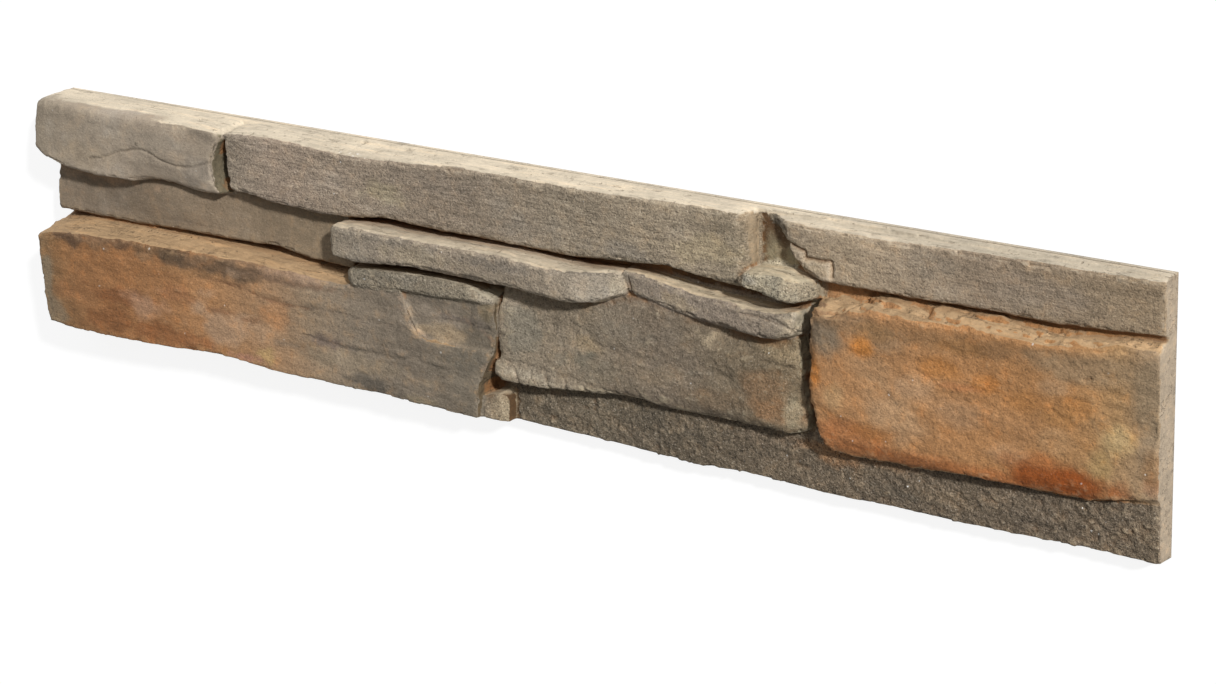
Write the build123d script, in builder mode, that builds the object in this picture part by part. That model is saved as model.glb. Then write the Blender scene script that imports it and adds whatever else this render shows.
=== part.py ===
from build123d import *
from math import radians, tan
import os

# Wet-cast concrete cladding slip: thirteen riven stones standing out of one flat-backed bed.
# It lies on its back. X runs along the slip, Y up its face as it hangs on a wall, Z out of the wall.
# Places along and up the slip are measured from its lower left corner.

# Whole slip
slip_length = 800.0
slip_height = 152.0
bed_thickness = 8.0     # floor of the joints, from the back
side_draft = 2.0        # degrees, on the long sides
end_draft = 0.5         # degrees, on the ends
trim = 4.0              # edge stones run this far past the sides, which cut them flush
root = 3.0              # stones start this far above the back, inside the bed
lap = 4.0               # stones run this far behind a neighbour that hides their end
arris = 1.6             # bevel round each stone's face
joint_draft = 7.0       # degrees, undersides of the stones

# Courses, down from the top; the three big bottom stones take up the rest of the height
top_fall = 2.0          # front edges of the top course, below the top side
top_course = 40.0       # the two left stones of the top course
top_right_course = 30.0
recessed_course = 35.0
recessed_joint = 2.2    # open joint under the recessed stone
foot_line = 32.0        # over the recessed bottom strip, up from the bottom edge

# Upright joints, from the left end
top_joint_left = 168.0
top_joint_right = 560.0
block_joint = 382.0
right_joint = 596.0
top_gap = 2.0           # gaps are the full width of the joint
broken_gap = 10.0
block_gap = 4.0
right_gap = 4.0

# How far each stone's face stands from the back
top_left_face = 34.0
top_middle_face = 25.0
top_right_face = 15.0
recessed_face = 20.0
ledge_face = 36.0
sliver_face = 29.0
thin_slab_face = 22.0
chunk_face = 27.0
bottom_left_face = 33.0
middle_block_face = 23.0
right_block_face = 23.0
bottom_strip_face = 14.0
chip_face = 23.0

# Ledge slab and the small stones round it
ledge_left = 258.0
ledge_right = 471.0
ledge_height = 19.5
ledge_joint = 3.5       # under the top course
sliver_left = 264.0
sliver_right = 379.0
sliver_height = 12.0
sliver_joint = 5.0      # under the ledge slab
thin_slab_right = 588.0
thin_slab_height = 15.0
chunk_left = 552.0
chunk_right = 597.0
chunk_height = 12.0
chunk_rise = 1.0        # into the top right stone's joint
lip_reach = 4.0         # lip on the middle block's lower left corner
chip_length = 24.0
chip_high = 16.0

# Crescent groove in the left joint of the top course
groove_floor = 14.0     # from the back
groove_bite = 8.0       # into the left stone, at half height
groove_mouth = 7.0      # width at the foot
groove_cover = 4.0      # stone left over its upper tip

# Ledges on top of the stones, degrees of fall to the front
top_ledge = 6.0
bottom_ledge = 14.0
right_ledge = 21.0
flat_ledge = 2.0

# Flake broken out of the big bottom stone's right end
flake_drop = 7.4        # its floor, behind the stone's mean face
flake_left = 305.0
flake_lean = 16.0
flake_height = 31.0
flake_radius = 16.0

# Rise of the slip's lower edge: share of the length, millimetres
lower_edge = [(0, 2.7), (0.11, 2.4), (0.16, 4), (0.205, 5), (0.245, 2.1), (0.275, 1.4), (0.36, 2.5),
              (0.45, 1), (0.525, 1), (0.6, 0.2), (0.65, 0.2), (0.68, 1.5), (0.75, 0.5), (0.79, 1.5),
              (0.87, 2), (0.925, 3.5), (1, 3.3)]


def tangent(angle):
    return tan(radians(angle))


def stone(left, right, low, high, face, ledge, sections):
    # Each section across the stone is (share of the length, change of the lower edge, of the upper edge,
    # of the face at the lower edge, of the face at the upper edge).
    with BuildPart() as riven:
        for share, foot_change, head_change, toe_change, brow_change in sections:
            foot = low + foot_change - slip_height / 2
            head = high + head_change - slip_height / 2
            toe = face + toe_change
            brow = face + brow_change
            across = left + share * (right - left) - slip_length / 2
            with BuildSketch(Plane.YZ.offset(across)):
                with BuildLine():
                    Polyline(
                        (foot - (toe - root) * tangent(joint_draft), root),
                        (foot, toe - arris),
                        (foot + arris, toe),
                        (head - arris, brow),
                        (head, brow - arris),
                        (head + (brow - root) * tangent(ledge), root),
                        close=True,
                    )
                make_face()
        loft(ruled=True)
    return riven.part


def lower_side(end_inset, side_inset):
    # Lower edge of the slip where its ends and sides have drawn in by the given amounts.
    points = []
    for share, rise in lower_edge:
        along = (share - 0.5) * (slip_length - 2 * end_inset)
        points.append((along, side_inset + rise - slip_height / 2))
    return points


# Joint lines, up from the bottom edge
top_edge = slip_height - top_fall
top_line = top_edge - top_course
right_line = top_edge - top_right_course
middle_line = top_line - recessed_course
ledge_high = top_line - ledge_joint
ledge_low = ledge_high - ledge_height
sliver_high = ledge_low - sliver_joint
chunk_high = right_line + chunk_rise

# Top course, its upper side cut flush by the slip's top
top_left = stone(
    -trim, top_joint_left - top_gap / 2, top_line, top_edge, top_left_face, top_ledge,
    [(0, 13, -1, -2, -8), (0.03, 8, -0.5, -1, -6.5), (0.08, 3.5, 0.5, 0, -3), (0.16, -0.5, 1.5, 0, -1),
     (0.35, -2.5, 1.5, 0, 0), (0.5, -1.5, 1.5, 0, 0), (0.62, 2.5, 1, 0, 0), (0.72, 2.5, 0.5, 0, 0),
     (0.9, -0.5, 0, -1, -1), (0.98, 0, -1, -1.5, -2), (1, 2, -3, -4, -4)])
top_middle = stone(
    top_joint_left - lap, top_joint_right - broken_gap / 2, top_line, top_edge, top_middle_face, top_ledge,
    [(0, 3, -3, 2.5, 2.5), (0.018, 2.5, -1.5, 3, 3), (0.065, 2, 0.5, 4, 4),
     (0.105, 0, 1, 4, 4), (0.207, -1.5, -1, 4, 4), (0.271, 0, -2, 3.5, 3.5), (0.348, 3.5, -1.5, 3, 3),
     (0.425, 1.5, -0.5, 2, 2), (0.5, 1, 1, 1, 1), (0.59, 0.5, 0, -0.5, -0.5), (0.706, 0, 0, -1.5, -1.5),
     (0.795, 2.3, 0.3, -2, -2), (0.86, 4, 1.5, -3, -3), (0.923, 1.5, 1.8, -3.5, -3.5),
     (0.97, 0, 1, -3.8, -3.8), (0.985, -0.5, 0.5, -4.8, -4.8), (0.994, 0, 0, -7, -7),
     (1, 1.5, -1.5, -12, -12)])
top_right = stone(
    top_joint_right + broken_gap / 2, slip_length + trim, right_line, top_edge, top_right_face, top_ledge,
    [(0, 25.3, -1, -6, -6), (0.03, 23, -1, -2, -2), (0.055, 16, -1, 0.5, 1), (0.075, 9, -1, 1, 1.5),
     (0.105, 3, -1, 1.5, 2), (0.15, -0.5, -1, 2, 2), (0.355, -1, -1.5, 1.5, 1.5), (0.5, 0, -0.3, 1, 1),
     (0.685, -0.5, -0.3, 0, 0), (0.855, 0, -0.2, -1, -0.5), (1, 2, 0, -3.5, -2.5)])

# Recessed stone of the second course, running back under the top one and behind the ledge slab
recessed = stone(
    -trim, ledge_left + lap, middle_line + recessed_joint, top_line, recessed_face, flat_ledge,
    [(0, -1, 0, 1, -3.5), (0.3, -1, 0, 1, -2.5), (0.45, 1, 0, 0.5, -2), (0.6, 0.5, 0, 0, -2),
     (0.76, 2, 0, 0, -2), (0.87, -1.5, 0, -1, -3), (1, -3, 0, -2, -4)])

# Ledge slab, its right end broken off in a long facet, and the sliver under it
ledge_slab = stone(
    ledge_left, ledge_right, ledge_low, ledge_high, ledge_face, flat_ledge,
    [(0, 1.5, -3, -3, -4), (0.02, -0.5, -1, -0.5, -1), (0.1, -1.5, 0, 0, 0), (0.31, 2, 0, 0, 0),
     (0.62, 2, 0.5, 0, 0), (0.8, 0.5, -1.5, 0, 0), (0.87, -0.5, -2, -1, -5), (0.93, 0.5, -1.5, -7, -10),
     (1, 6, -0.5, -15, -16)])
sliver = stone(
    sliver_left, sliver_right, sliver_high - sliver_height, sliver_high, sliver_face, flat_ledge,
    [(0, -1, -5, -3, -3), (0.05, -3, -3, 0, -0.5), (0.3, 0, -0.5, 0, 0), (0.68, 2, 1.5, 0, 0),
     (0.85, 3, 0.5, 0, 0), (0.94, 3.5, -2.5, -1, -1.5), (1, 3.5, -5, -5, -5)])

# Thin slab right of the ledge and the chunk wedged under the broken top joint
thin_slab = stone(
    ledge_right - lap, thin_slab_right, ledge_low, ledge_low + thin_slab_height, thin_slab_face, flat_ledge,
    [(0, 7, 5, -3, -3), (0.2, 4, 3, -2, -2), (0.43, 0, -0.5, -0.5, -1), (0.77, -3, -2, 1, 0.5),
     (0.87, -2.5, -2, 1.5, 1), (0.98, 2, 0, 1, 0.5), (1, 3.5, 0, -1, -1)])
chunk = stone(
    chunk_left, chunk_right, chunk_high - chunk_height, chunk_high, chunk_face, flat_ledge,
    [(0, 3, -4, -3, -3), (0.12, 2.5, -0.5, 0, -0.5), (0.34, 1.5, 0.5, 0, 0), (0.62, -1.5, 0, 0, -1),
     (0.74, -2, -1.5, -1.5, -3), (1, 0, -2.5, -13, -13)])

# Bottom left stone, its right end broken back towards the lower edge
left_height = trim + middle_line
bottom_left = stone(
    -trim, block_joint - block_gap / 2, -trim, middle_line, bottom_left_face, bottom_ledge,
    [(0, 0, -13, 3, 7), (0.03, 0, -10.5, 3.5, 7), (0.09, 0, -7, 4, 6.5), (0.19, 0, -5.5, 4, 5.5),
     (0.32, 0, -4.5, 2.5, 3.5), (0.43, 0, -5, 0, 0), (0.53, 0, -5.5, -2.5, -2.5), (0.62, 0, -7, -4.5, -4.5),
     (0.69, 0, -8, -5, -5), (0.81, 0, -4, -5, -5), (0.92, 0, -2, -5.5, -6), (0.955, 0, -1, -6, -6),
     (0.962, 0.33 * left_height, 0, -6.5, -6),
     (0.99, 0.58 * left_height, 1, -7, -7), (1, 0.76 * left_height, 1, -9, -9)])

# Middle block, leaning back under the ledge, with a lip at its lower left corner
block_left = block_joint - block_gap / 2
block_height = ledge_low - foot_line
middle_block = stone(
    block_left - lip_reach, right_joint - right_gap / 2, foot_line, ledge_low, middle_block_face, flat_ledge,
    [(0, -1, -0.88 * block_height, 0, 0), (0.01, -3, -0.85 * block_height, 1, 1),
     (0.02, -3.5, -0.8 * block_height, 2, 0), (0.028, -3.5, 3, 2, -6), (0.06, -3.5, 4, 2, -5),
     (0.165, -3.5, 4, 2, -5), (0.29, -0.5, 4, 1, -5), (0.477, 3, 5, 1, -5),
     (0.56, 1, 4, 1, -5), (0.706, 2, 2, 1, -4.5), (0.95, 2, 0, 0.5, -4.5), (0.963, 2.5, -1, 0, -4.5),
     (0.98, 3, -0.44 * block_height, -0.5, -3), (1, 6, -0.73 * block_height, -3, -4)])

# Right block, with a rugged sloping ledge on top
right_height = right_line - foot_line
right_block = stone(
    right_joint + right_gap / 2, slip_length + trim, foot_line, right_line, right_block_face, right_ledge,
    [(0, 0.34 * right_height, -15.5, 1, 0), (0.02, 0.16 * right_height, -14.5, 3, 2),
     (0.035, 3, -14.5, 3.5, 3), (0.065, -1.5, -15, 3.5, 3.5),
     (0.12, -1, -13.5, 3.5, 3.5), (0.2, -1.5, -9, 3, 2.5), (0.28, -1, -8, 2.5, 2), (0.335, -0.5, -9.5, 2, 2),
     (0.47, 1, -7.5, 1, 1), (0.69, 0.5, -9.5, -1.5, -1), (0.81, 1, -7.5, -3.5, -3), (0.87, 3, -6, -5, -4.5),
     (1, 6, -4.5, -8, -7)])

# Recessed strip along the bottom, and a chip of stone left of it
strip_left = block_joint - block_gap
bottom_strip = stone(
    strip_left, slip_length + trim, -trim, foot_line, bottom_strip_face, flat_ledge,
    [(0, 0, 6, -2, -2), (0.02, 0, 6, -0.5, -0.5), (0.25, 0, 6, 0, 0), (0.55, 0, 6, 0.5, 0.5),
     (1, 0, 12, -1, -1)])
chip = stone(
    strip_left - chip_length, strip_left + lap, -trim, chip_high, chip_face, flat_ledge,
    [(0, 0, -1, 0, 0), (0.45, 0, 0, 0, 0), (0.85, 0, 3, -0.5, -0.5), (1, 0, 1, -4, -4)])

# Inside of the mould, which trims the stones to the slip's four sides
mould_depth = 2 * max(top_left_face, ledge_face, bottom_left_face)
with BuildPart() as mould:
    for height in (0, mould_depth):
        end_inset = height * tangent(end_draft)
        side_inset = height * tangent(side_draft)
        with BuildSketch(Plane.XY.offset(height)):
            with BuildLine():
                edge = Spline(*lower_side(end_inset, side_inset))
                top_right_corner = (slip_length / 2 - end_inset, slip_height / 2 - side_inset)
                top_left_corner = (end_inset - slip_length / 2, slip_height / 2 - side_inset)
                Polyline(edge @ 1, top_right_corner, top_left_corner, edge @ 0)
            make_face()
    loft(ruled=True)

# Flake broken out of the bottom left stone, up to the sliver and the block joint
with BuildPart() as flake:
    with BuildSketch(Plane.XY.offset(bottom_left_face - flake_drop)):
        with BuildLine():
            start = (flake_left - slip_length / 2, middle_line - slip_height / 2)
            heel = (flake_left + flake_lean - slip_length / 2, middle_line - flake_height - slip_height / 2)
            finish = (block_joint - slip_length / 2, middle_line - flake_height - slip_height / 2)
            corner = (block_joint - slip_length / 2, middle_line - slip_height / 2)
            FilletPolyline(start, heel, finish, radius=flake_radius)
            Polyline(finish, corner, start)
        make_face()
    extrude(amount=mould_depth)

# Groove between the two left stones of the top course, closing towards the top
with BuildPart() as top_groove:
    with BuildSketch(Plane.XY.offset(groove_floor)):
        with BuildLine():
            joint_place = top_joint_left - slip_length / 2
            foot = top_line - slip_height / 2
            tip = (joint_place + top_gap, top_edge - groove_cover - slip_height / 2)
            left_foot = (joint_place - top_gap, foot)
            right_foot = (joint_place - top_gap + groove_mouth, foot)
            half_way = foot + top_course / 2
            ThreePointArc(tip, (joint_place - groove_bite, half_way), left_foot)
            Line(left_foot, right_foot)
            ThreePointArc(right_foot, (joint_place + top_gap / 4, half_way), tip)
        make_face()
    extrude(amount=mould_depth)

with BuildPart() as cladding_slip:
    Box(slip_length, slip_height, bed_thickness, align=(Align.CENTER, Align.CENTER, Align.MIN))
    add(bottom_left)
    add(flake.part, mode=Mode.SUBTRACT)
    add(top_left)
    add(top_middle)
    add(top_groove.part, mode=Mode.SUBTRACT)
    for piece in (top_right, recessed, ledge_slab, sliver, thin_slab, chunk, middle_block, right_block,
                  bottom_strip, chip):
        add(piece)
    add(mould.part, mode=Mode.INTERSECT)

os.makedirs("parts", exist_ok=True)
cladding_slip.part.label = "cladding_slip"
export_step(cladding_slip.part, "parts/cladding_slip.step")
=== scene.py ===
import itertools
import math

import bmesh
import bpy
import numpy as np
from mathutils import Matrix, Vector


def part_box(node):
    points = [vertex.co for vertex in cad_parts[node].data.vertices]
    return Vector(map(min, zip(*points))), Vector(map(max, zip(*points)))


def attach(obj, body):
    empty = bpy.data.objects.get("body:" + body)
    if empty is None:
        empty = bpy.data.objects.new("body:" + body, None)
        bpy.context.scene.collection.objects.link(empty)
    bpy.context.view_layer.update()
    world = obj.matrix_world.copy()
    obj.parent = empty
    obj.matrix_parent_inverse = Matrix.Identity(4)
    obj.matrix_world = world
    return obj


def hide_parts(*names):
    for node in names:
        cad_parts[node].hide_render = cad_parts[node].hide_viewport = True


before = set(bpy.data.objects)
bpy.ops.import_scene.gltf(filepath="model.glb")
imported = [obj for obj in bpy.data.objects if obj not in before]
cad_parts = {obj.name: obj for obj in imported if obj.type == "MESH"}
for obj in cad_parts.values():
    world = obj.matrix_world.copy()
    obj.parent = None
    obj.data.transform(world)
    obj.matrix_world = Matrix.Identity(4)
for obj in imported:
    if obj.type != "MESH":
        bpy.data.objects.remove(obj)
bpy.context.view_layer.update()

scene = bpy.context.scene
print("frame loaded:", sorted(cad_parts))

# The slip lies on its back. Places on it are millimetres from its lower left corner: along, up and out.
slip = {
    "length": 800.0,
    "height": 152.0,
    "sideLean": 0.035,     # the long sides draw in by this share of the way out
    "voxel": 0.0008,   # skin before it is carved, metres
    "triangles": 192000,
    "chipping": 2.0,       # most that an arris loses
    "broadWave": 0.5,
    "jointReach": 3,       # a gap under twice this width counts as a joint
    "mapMargin": 20,       # round the height map of the face
    "wallDepth": 2.5,      # a wall takes its colour this far inside its stone
    "topFade": 0.2,        # the top side is this much darker towards its right end
    # lumps of the relief, as their size along, up and out
    "lumps": {"wave": (55, 30, 30), "warp": 25, "lamination": (60, 2.6, 6), "plates": (38, 15, 15),
              "grit": (3.2, 2.6, 2.6), "ledge": (16, 4, 4), "knobs": (6, 6, 6), "slits": (26, 4, 4),
              "sides": (14, 3, 3), "chips": (7, 7, 7), "fineChips": 2.2, "wobble": 6, "worn": (14, 9, 9)},
    "warp": 3,             # how far the layers wander
    "plateSteps": 3,       # split plates above and below the mean face
    "plateStep": 0.6,      # height of a plate, as a share of the stone's flake
    "sideGrain": 0.1,
    "shelfWidth": 12,      # a crack's step fades over this
    # worn round, as along, up, half width, half height and turns: the left end and the brow beside it
    "rounds": [(-2, 134, 18, 26, 10), (0, 150, 24, 14, 30), (75, 150, 80, 8, 40)],
    # broad falls and rises, as along, up, half width, half height, the depths where they start, are whole,
    # stop being whole and end, and the rise: lower edges that draw in, and faces that rise or lie back
    "swells": [
        (112, 106, 62, 18, (22, 30, 50, 60), -6.0), (114, 104, 76, 34, (6, 12, 23, 27), 7.0),
        (345, 83, 95, 10, (29, 33, 50, 60), -3.5), (383, 66, 24, 28, (10, 15, 28, 34), 4.5),
        (377, 62, 12, 24, (20, 24, 40, 50), -2.5),
        (555, 86, 52, 20, (6, 12, 19.5, 21.5), -6.0), (515, 30, 80, 12, (15, 19, 50, 60), -6.0),
        (590, 62, 13, 36, (8, 14, 23.5, 25), -2.5), (650, 27, 70, 13, (15.5, 20, 50, 60), -6.5),
        (745, 28, 65, 12, (15.5, 19, 50, 60), -4.0)],
    "swellDrop": 0.4,      # a lower edge also moves down by this share of what it draws in
    # the left ends of two stones stand out, as up, half height and how far
    "leftBulges": [(131, 26, 7.5), (36, 42, 2.0)],
}
mapSize = [int(slip[key]) + 2 * slip["mapMargin"] for key in ("length", "height")]
boxLow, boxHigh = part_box("cladding_slip")
slipCorner = np.array([boxLow.x, boxHigh.y - slip["height"] / 1000, 0])

cream = (0.50, 0.425, 0.32)      # bare cement
sand = (0.43, 0.34, 0.23)
clay = (0.1, 0.055, 0.025)
outerSides = {"top": (0.55, 0.47, 0.355), "right": (0.30, 0.237, 0.168), "left": (0.30, 0.245, 0.18),
              "bottom": (0.34, 0.28, 0.20), "back": (0.43, 0.39, 0.33)}

# Each stone: outline on the face, tones along it as (place, colour), and its relief in millimetres.
# Ledge is the bare colour of its upper side and end that of its right end. Spots are (along, up, half width,
# half height, colour, strength), veins are (points, width, colour, strength), cracks are (points, width,
# depth, step, wander) and crystals are (along, up, size).
stones = {
    "topLeft": {
        "outline": [(-5, 124), (10, 113), (25, 108.5), (60, 106.5), (85, 107.5), (105, 111), (120, 111.5),
                    (150, 108.5), (166, 108), (161, 116), (159, 128), (162, 139), (169, 147), (169, 158),
                    (-5, 158)],
        "tones": [(0, (0.294, 0.242, 0.18)), (90, (0.345, 0.281, 0.212)), (160, (0.31, 0.251, 0.187))],
        # its right end wall is painted dark: painted shade in the narrow groove beside topMiddle
        "ledge": cream, "end": (0.14, 0.115, 0.072), "warmth": 0.35, "streak": 0.25,
        "speckle": 0.4, "lamination": 0.08, "grit": 0.1, "flake": 0.22,
        "spots": [(95, 138, 40, 7, (0.31, 0.26, 0.2), 0.5), (100, 112, 70, 8, (0.41, 0.335, 0.255), 0.7),
                  (40, 120, 26, 6, (0.38, 0.3, 0.21), 0.6), (148, 121, 12, 8, (0.27, 0.23, 0.185), 0.6),
                  (154, 145, 10, 3, (0.17, 0.14, 0.105), 0.6),
                  (135, 149, 14, 1.5, (0.2, 0.165, 0.12), 0.5)],
        "cracks": [([(50, 118), (66, 121.5), (80, 127), (98, 130.5), (106, 129), (118, 125), (130, 123.5),
                     (145, 125), (162, 131)], 0.8, 0.75, 0.55, 0.5)],
    },
    "topMiddle": {
        "outline": [(166, 108), (205, 108.5), (245, 107), (270, 108.5), (300, 112), (330, 110), (395, 109),
                    (440, 108.5), (475, 110.8), (500, 112.5), (525, 110), (557, 108), (557, 158),
                    (169, 158), (169, 147), (162, 139), (159, 128), (161, 116)],
        "tones": [(170, (0.3, 0.245, 0.185)), (215, (0.335, 0.26, 0.195)), (270, (0.309, 0.245, 0.181)),
                  (350, (0.257, 0.204, 0.149)), (430, (0.278, 0.226, 0.163)), (510, (0.348, 0.279, 0.196)),
                  (540, (0.256, 0.208, 0.144)), (556, (0.272, 0.208, 0.136))],
        "ledge": cream, "end": (0.31, 0.235, 0.15), "warmth": 0.4, "streak": 1.0,
        "speckle": 1.0, "lamination": 0.22, "grit": 0.18, "flake": 0.3,
        "spots": [(300, 128, 16, 7, (0.36, 0.3, 0.19), 0.6), (528, 127, 20, 7, (0.4, 0.32, 0.2), 0.6),
                  (340, 140, 40, 6, (0.24, 0.195, 0.15), 0.5), (390, 122, 25, 8, (0.24, 0.195, 0.145), 0.4),
                  (470, 118, 22, 4, (0.26, 0.225, 0.18), 0.6)],
        "crystals": [(264, 148, 0.7), (270, 147.5, 0.6), (276, 148, 0.7), (281, 147.5, 0.9),
                     (285, 148, 0.7), (362, 137, 0.7), (330, 128, 0.6)],
    },
    "topRight": {
        "outline": [(560, 158), (562, 146), (571, 142), (577, 134), (582, 127), (588, 121.5), (601, 118),
                    (650, 117.5), (685, 118.5), (729, 118), (769, 118.5), (806, 120.5), (806, 158)],
        "tones": [(563, (0.24, 0.198, 0.138)), (585, (0.358, 0.278, 0.191)), (620, (0.413, 0.32, 0.218)),
                  (660, (0.338, 0.26, 0.18)), (700, (0.269, 0.205, 0.143)), (780, (0.291, 0.216, 0.138))],
        "ledge": cream, "end": sand, "warmth": 0.5, "streak": 0.8,
        "speckle": 0.8, "lamination": 0.12, "grit": 0.18, "flake": 0.28,
        "spots": [(570, 147, 7, 4, (0.13, 0.109, 0.081), 0.8), (594, 126, 8, 4, (0.4, 0.317, 0.21), 0.6),
                  (668, 140, 16, 6, (0.26, 0.213, 0.158), 0.5),
                  (735, 134, 22, 8, (0.27, 0.213, 0.158), 0.5)],
        "cracks": [([(578, 137), (590, 134), (590, 130.3), (607, 131), (607, 123)], 1.1, 2.0, -0.7, 0.2)],
    },
    "ledgeSlab": {
        "outline": [(256, 86), (280, 84), (300, 86), (325, 88), (390, 88.5), (430, 87), (445, 85.5),
                    (455, 87), (473, 92), (473, 108), (430, 107), (300, 108), (257, 107)],
        "tones": [(258, (0.31, 0.259, 0.193)), (300, (0.291, 0.24, 0.183)), (350, (0.296, 0.24, 0.179)),
                  (425, (0.31, 0.254, 0.188)), (450, (0.282, 0.24, 0.185)), (470, (0.277, 0.23, 0.174))],
        "ledge": (0.49, 0.41, 0.3), "end": (0.3, 0.25, 0.19), "warmth": 0.35, "streak": 0.3,
        "speckle": 1.0, "lamination": 0.12, "grit": 0.22, "flake": 0.3,
        "spots": [(330, 96, 30, 5, (0.37, 0.3, 0.205), 0.6), (300, 103, 25, 3, (0.24, 0.205, 0.16), 0.6),
                  (395, 101, 25, 3, (0.24, 0.205, 0.165), 0.6),
                  (446, 104, 12, 1.6, (0.16, 0.135, 0.105), 0.7), (467, 98, 4, 6, (0.42, 0.35, 0.25), 0.7)],
        "cracks": [([(466, 109), (471, 101), (472.5, 92)], 1.1, 1.8, 0.0, 0.5)],
        "crystals": [(298, 103, 1.0), (297, 100.5, 0.6), (280, 103, 0.6), (270, 101, 0.6)],
    },
    "sliver": {
        "outline": [(262, 67), (300, 69), (345, 71), (362, 72.5), (381, 74), (381, 81), (345, 85),
                    (300, 83.5), (270, 81), (262, 78)],
        "tones": [(262, (0.27, 0.23, 0.17)), (330, (0.255, 0.215, 0.157)), (360, (0.27, 0.228, 0.165)),
                  (378, (0.33, 0.28, 0.21))],
        "ledge": (0.42, 0.365, 0.27), "end": (0.26, 0.22, 0.16), "warmth": 0.45, "streak": 0.4,
        "speckle": 1.3, "lamination": 0.14, "grit": 0.25, "flake": 0.25,
        "spots": [(290, 79, 20, 2, (0.17, 0.15, 0.115), 0.5)],
        "crystals": [(280, 74, 0.9)],
    },
    "thinSlab": {
        "outline": [(467, 93), (490, 90), (520, 86), (560, 83), (575, 83.5), (588, 88), (591, 104),
                    (575, 102), (550, 102), (520, 103.5), (490, 107), (468, 109)],
        "tones": [(470, (0.25, 0.205, 0.155)), (500, (0.265, 0.215, 0.165)), (550, (0.275, 0.22, 0.167)),
                  (576, (0.27, 0.22, 0.165)), (584, (0.34, 0.285, 0.21))],
        "ledge": (0.48, 0.39, 0.27), "end": (0.33, 0.28, 0.2), "warmth": 0.35, "streak": 0.35,
        "speckle": 0.95, "lamination": 0.14, "grit": 0.24, "flake": 0.25, "ledgeGrit": 0.5,
        "spots": [(508, 95, 10, 4, (0.38, 0.29, 0.18), 0.5)],
        "cracks": [([(552, 96.2), (566, 95.6), (580, 93.6)], 0.7, 1.0, 0.3, 0.3),
                   ([(570, 97), (579, 95), (585, 92)], 0.7, 0.9, 0.0, 0.4),
                   ([(468, 109), (473, 101), (474.5, 92)], 1.2, 1.6, 0.0, 0.5)],
    },
    "chunk": {
        "outline": [(549, 111), (575, 106.5), (590, 106.5), (600, 108), (600, 119), (590, 122),
                    (565, 123.5), (550, 120)],
        "tones": [(552, (0.483, 0.41, 0.284)), (566, (0.473, 0.404, 0.284)), (577, (0.284, 0.247, 0.181)),
                  (582, (0.294, 0.247, 0.173)), (598, (0.304, 0.247, 0.168))],
        "ledge": (0.48, 0.4, 0.275), "end": (0.29, 0.24, 0.165), "warmth": 0.3, "streak": 0.2,
        "speckle": 1.5, "lamination": 0.08, "grit": 0.2, "flake": 0.2,
        "spots": [(560, 117, 5, 3, (0.36, 0.33, 0.28), 0.6)],
    },
    "bottomLeft": {
        "outline": [(-5, -8), (365.5, -8), (366, 22), (377, 42), (381, 56), (381, 74), (362, 72.5),
                    (345, 71), (300, 69), (262, 67), (262, 71), (235, 74), (200, 76), (160, 76),
                    (120, 76.5), (69, 76), (30, 75), (7, 72), (-5, 71)],
        "tones": [(0, (0.245, 0.142, 0.066)), (40, (0.288, 0.14, 0.058)), (90, (0.322, 0.153, 0.062)),
                  (150, (0.362, 0.192, 0.087)), (205, (0.331, 0.211, 0.121)), (235, (0.287, 0.211, 0.138)),
                  (270, (0.25, 0.2, 0.145)), (320, (0.206, 0.167, 0.124)), (365, (0.188, 0.155, 0.113))],
        # its right end wall is painted very dark: painted shade in the narrow joint beside middleBlock
        "ledge": (0.4, 0.265, 0.145), "end": (0.11, 0.08, 0.046), "warmth": 0.75, "streak": 0.45,
        "speckle": 0.6, "lamination": 0.16, "grit": 0.14, "flake": 0.4, "ledgeGrit": 0.5,
        "spots": [(2, 30, 7, 30, (0.26, 0.205, 0.135), 0.8), (8, 12, 12, 10, (0.28, 0.215, 0.14), 0.7),
                  (26, 65.5, 17, 5, (0.115, 0.067, 0.038), 0.9), (55, 65, 14, 4, (0.24, 0.15, 0.085), 0.6),
                  (76, 68, 14, 3.5, (0.12, 0.066, 0.036), 0.85),
                  (108, 67.5, 26, 4.5, (0.14, 0.08, 0.04), 0.85),
                  (126, 66, 14, 5.5, (0.1, 0.065, 0.038), 0.8),
                  (160, 63.5, 28, 7, (0.115, 0.073, 0.043), 0.9),
                  (196, 65.5, 24, 4, (0.16, 0.1, 0.06), 0.8), (145, 66, 9, 3, (0.24, 0.14, 0.075), 0.6),
                  (48, 69, 26, 2.5, (0.17, 0.1, 0.055), 0.7), (228, 62, 26, 2, (0.17, 0.11, 0.07), 0.6),
                  (172, 62, 6, 3, (0.25, 0.17, 0.11), 0.6), (100, 62, 6, 3, (0.3, 0.18, 0.095), 0.6),
                  (135, 57, 24, 2.5, (0.3, 0.16, 0.07), 0.6), (30, 54, 22, 5, (0.36, 0.18, 0.075), 0.5),
                  (70, 32, 28, 5, (0.22, 0.092, 0.036), 0.85), (30, 28, 16, 6, (0.3, 0.145, 0.062), 0.6),
                  (122, 41, 12, 5, (0.29, 0.135, 0.06), 0.7), (66, 14, 24, 7, (0.22, 0.094, 0.036), 0.85),
                  (112, 12, 36, 5.5, (0.26, 0.108, 0.041), 0.8), (96, 30, 16, 8, (0.4, 0.245, 0.155), 0.6),
                  (165, 28, 28, 11, (0.4, 0.275, 0.18), 0.6), (158, 35, 9, 1.6, (0.22, 0.11, 0.055), 0.7),
                  (186, 33, 8, 2, (0.22, 0.11, 0.055), 0.6), (170, 54, 12, 1.5, (0.22, 0.11, 0.055), 0.7),
                  (203, 40, 10, 9, (0.43, 0.22, 0.1), 0.6), (194, 12, 7, 4, (0.46, 0.31, 0.13), 0.6),
                  (177, 8, 10, 2, (0.4, 0.2, 0.14), 0.6), (225, 66, 24, 3.5, (0.33, 0.215, 0.14), 0.7),
                  (215, 62, 22, 1.4, (0.19, 0.115, 0.07), 0.6),
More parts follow.
